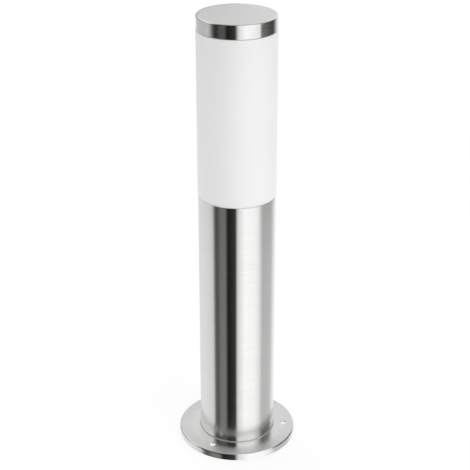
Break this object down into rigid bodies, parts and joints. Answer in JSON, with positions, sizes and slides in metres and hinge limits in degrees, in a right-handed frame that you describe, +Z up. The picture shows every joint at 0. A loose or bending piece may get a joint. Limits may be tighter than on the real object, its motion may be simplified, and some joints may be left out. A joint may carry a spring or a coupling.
{
  "type": "bollard light",
  "caption": "Round steel garden bollard light with an opal head that twists off over a screw-in lamp, on a pressed foot with ground-screw holes.",
  "frame": {"origin": "centre of the foot's underside, on the ground", "axes": "+Z up along the post; one of the three ground-screw holes lies on +X"},
  "size_m": [0.12, 0.12, 0.45],
  "materials": {
    "steel_brushed": "brushed stainless",
    "steel_plain": "satin stainless",
    "zinc_steel": "bright zinc plated",
    "tinned": "tinned",
    "nickel": "nickel plated",
    "brass": "plain",
    "aluminium": "matt",
    "white_plastic": "matt",
    "black_plastic": "matt",
    "ceramic_white": "glazed steatite",
    "black_rubber": "moulded",
    "opal_acrylic": "opal, satin",
    "opal_globe": "opal, satin",
    "lamp_white": "gloss",
    "black_glass": "glass insulator",
    "board_green": "circuit board",
    "led_yellow": "phosphor",
    "wire_brown": "insulated wire",
    "wire_blue": "insulated wire",
    "wire_green": "insulated wire, green and yellow"
  },
  "bodies": {
    "post": {"base_flange": "steel_brushed", "cable_clamp": "black_plastic", "cable_clamp_screws": "zinc_steel", "cable_grommet": "black_rubber", "carrier_screws": "zinc_steel", "centre_contact_foot": "brass", "centre_contact_rivet": "brass", "earth_ring_terminal": "tinned", "earth_screw": "brass", "flange_screws": "zinc_steel", "flange_washers": "zinc_steel", "gear_bracket": "zinc_steel", "head_seal": "black_rubber", "holder_nipple": "zinc_steel", "lamp_carrier": "white_plastic", "lampholder_cap": "black_plastic", "lampholder_insert": "ceramic_white", "lampholder_sleeve": "black_plastic", "lampholder_terminals": "brass", "lampholder_thread_shell": "brass", "lead_earth": "wire_green", "lead_live": "wire_brown", "lead_neutral": "wire_blue", "nipple_locknut": "zinc_steel", "nipple_washer": "zinc_steel", "post_tube": "steel_brushed", "terminal_block": "white_plastic", "terminal_block_screws": "zinc_steel", "terminal_clamp_screws": "brass", "terminal_inserts": "brass", "tube_foot_lugs": "steel_plain", "tube_top_lugs": "steel_plain"},
    "head_guide": {"cap_gasket": "black_rubber"},
    "head": {"diffuser": "opal_acrylic", "top_cap": "steel_brushed", "cap_stud": "zinc_steel", "cap_washer": "zinc_steel", "cap_nut": "zinc_steel"},
    "lamp_foot": {"lamp_contact_tip": "tinned", "lamp_insulator": "black_glass"},
    "lamp": {"lamp_cap_shell": "nickel", "lamp_body": "lamp_white", "lamp_driver_board": "board_green", "lamp_led_plate": "aluminium", "lamp_leds": "led_yellow", "lamp_globe": "opal_globe"},
    "contact": {"centre_contact_leaf": "brass"}
  },
  "joints": [
    {"name": "head_lift", "type": "slide", "parent": "post", "child": "head_guide", "axis": [0, 0, 1], "range_m": [0, 0.14]},
    {"name": "head_turn", "type": "hinge", "parent": "head_guide", "child": "head", "pos_m": [0, 0, 0.36], "axis": [0, 0, 1], "range_deg": [-25, 0]},
    {"name": "lamp_rise", "type": "slide", "parent": "post", "child": "lamp_foot", "axis": [0, 0, 1], "range_m": [0, 0.0109]},
    {"name": "lamp_turn", "type": "hinge", "parent": "lamp_foot", "child": "lamp", "pos_m": [0, 0, 0.3], "axis": [0, 0, 1], "range_deg": [0, 1080]},
    {"name": "contact_flex", "type": "hinge", "parent": "post", "child": "contact", "pos_m": [0, 0.00795, 0.2729], "axis": [1, 0, 0], "range_deg": [0, 5], "stiffness_Nm_per_rad": 0.05}
  ],
  "couplings": [
    {"joint": "lamp_rise", "follows": "lamp_turn", "m_per_rad": 0.00057757}
  ]
}
